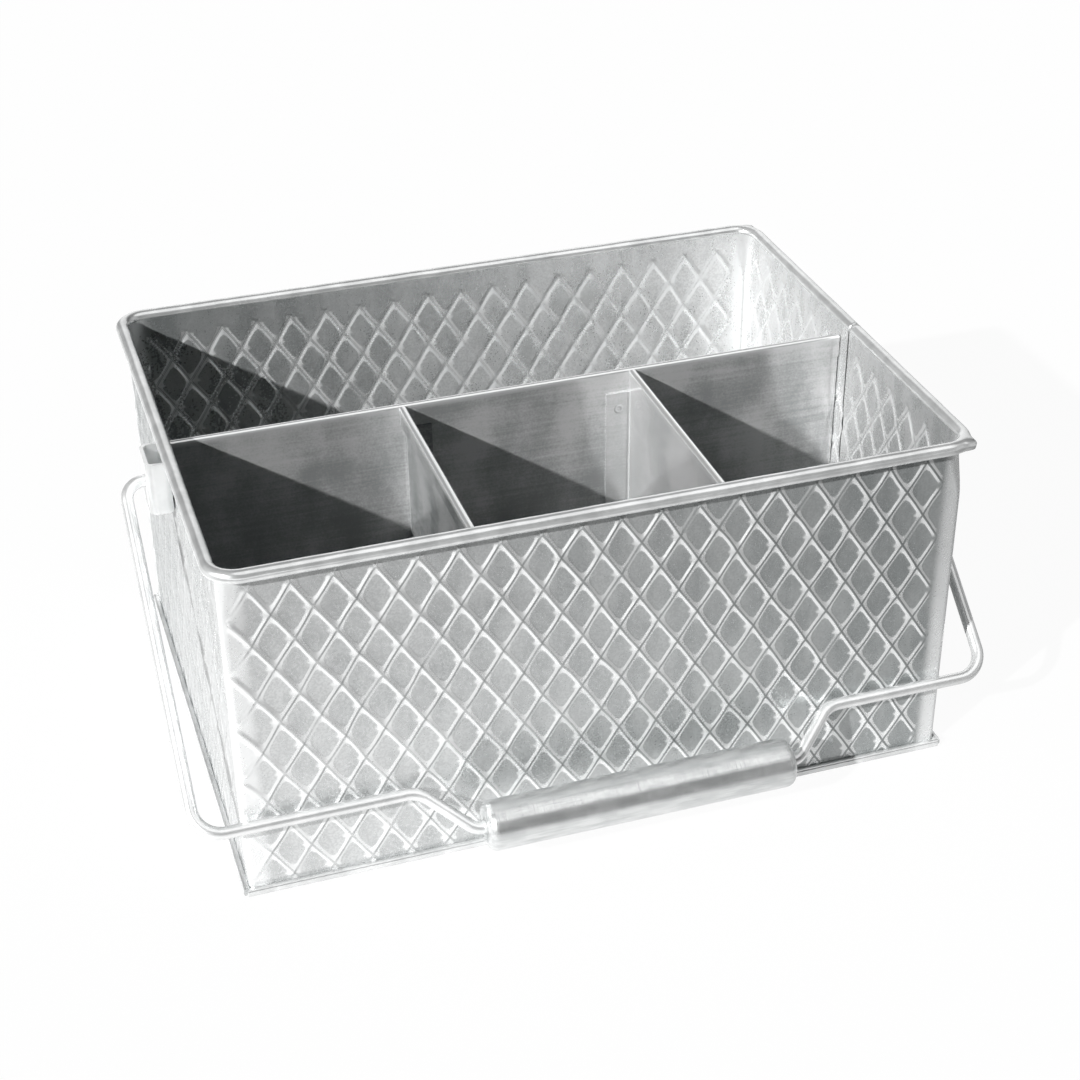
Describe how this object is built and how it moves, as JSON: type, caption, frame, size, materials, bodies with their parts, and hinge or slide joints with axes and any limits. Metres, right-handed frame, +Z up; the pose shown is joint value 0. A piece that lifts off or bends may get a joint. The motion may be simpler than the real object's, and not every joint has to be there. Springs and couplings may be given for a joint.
{
  "type": "flatware caddy",
  "caption": "Open stainless steel caddy with diamond-embossed walls, welded dividers and a wire bail handle with a tube grip that swings over the top.",
  "frame": {"origin": "middle of the underside of the base", "axes": "+X to the right along the long side, -Y towards the front where the handle hangs, +Z up"},
  "size_m": [0.2694, 0.2002, 0.1196],
  "materials": {
    "embossed_sheet": "bright stainless sheet with raised diamond ribs",
    "plain_sheet": "brushed stainless sheet",
    "strap": "plain stainless strap",
    "wire": "bright stainless wire",
    "grip": "stainless tube brushed lengthwise"
  },
  "bodies": {
    "tray": {"wall_wrapper": "embossed_sheet", "rim_wire": "wire", "base_pan": "plain_sheet", "long_divider": "plain_sheet", "left_cross_divider": "plain_sheet", "right_cross_divider": "plain_sheet", "left_bracket": "strap", "right_bracket": "strap"},
    "handle": {"bail_wire": "wire"},
    "grip": {"grip_tube": "grip"}
  },
  "joints": [
    {"name": "handle_swing", "type": "hinge", "parent": "tray", "child": "handle", "pos_m": [0, 0, 0.1024], "axis": [-1, 0, 0], "range_deg": [0, 258]},
    {"name": "grip_spin", "type": "hinge", "parent": "handle", "child": "grip", "pos_m": [0.0058, -0.10159, 0.0189], "axis": [1, 0, 0], "continuous": true}
  ]
}
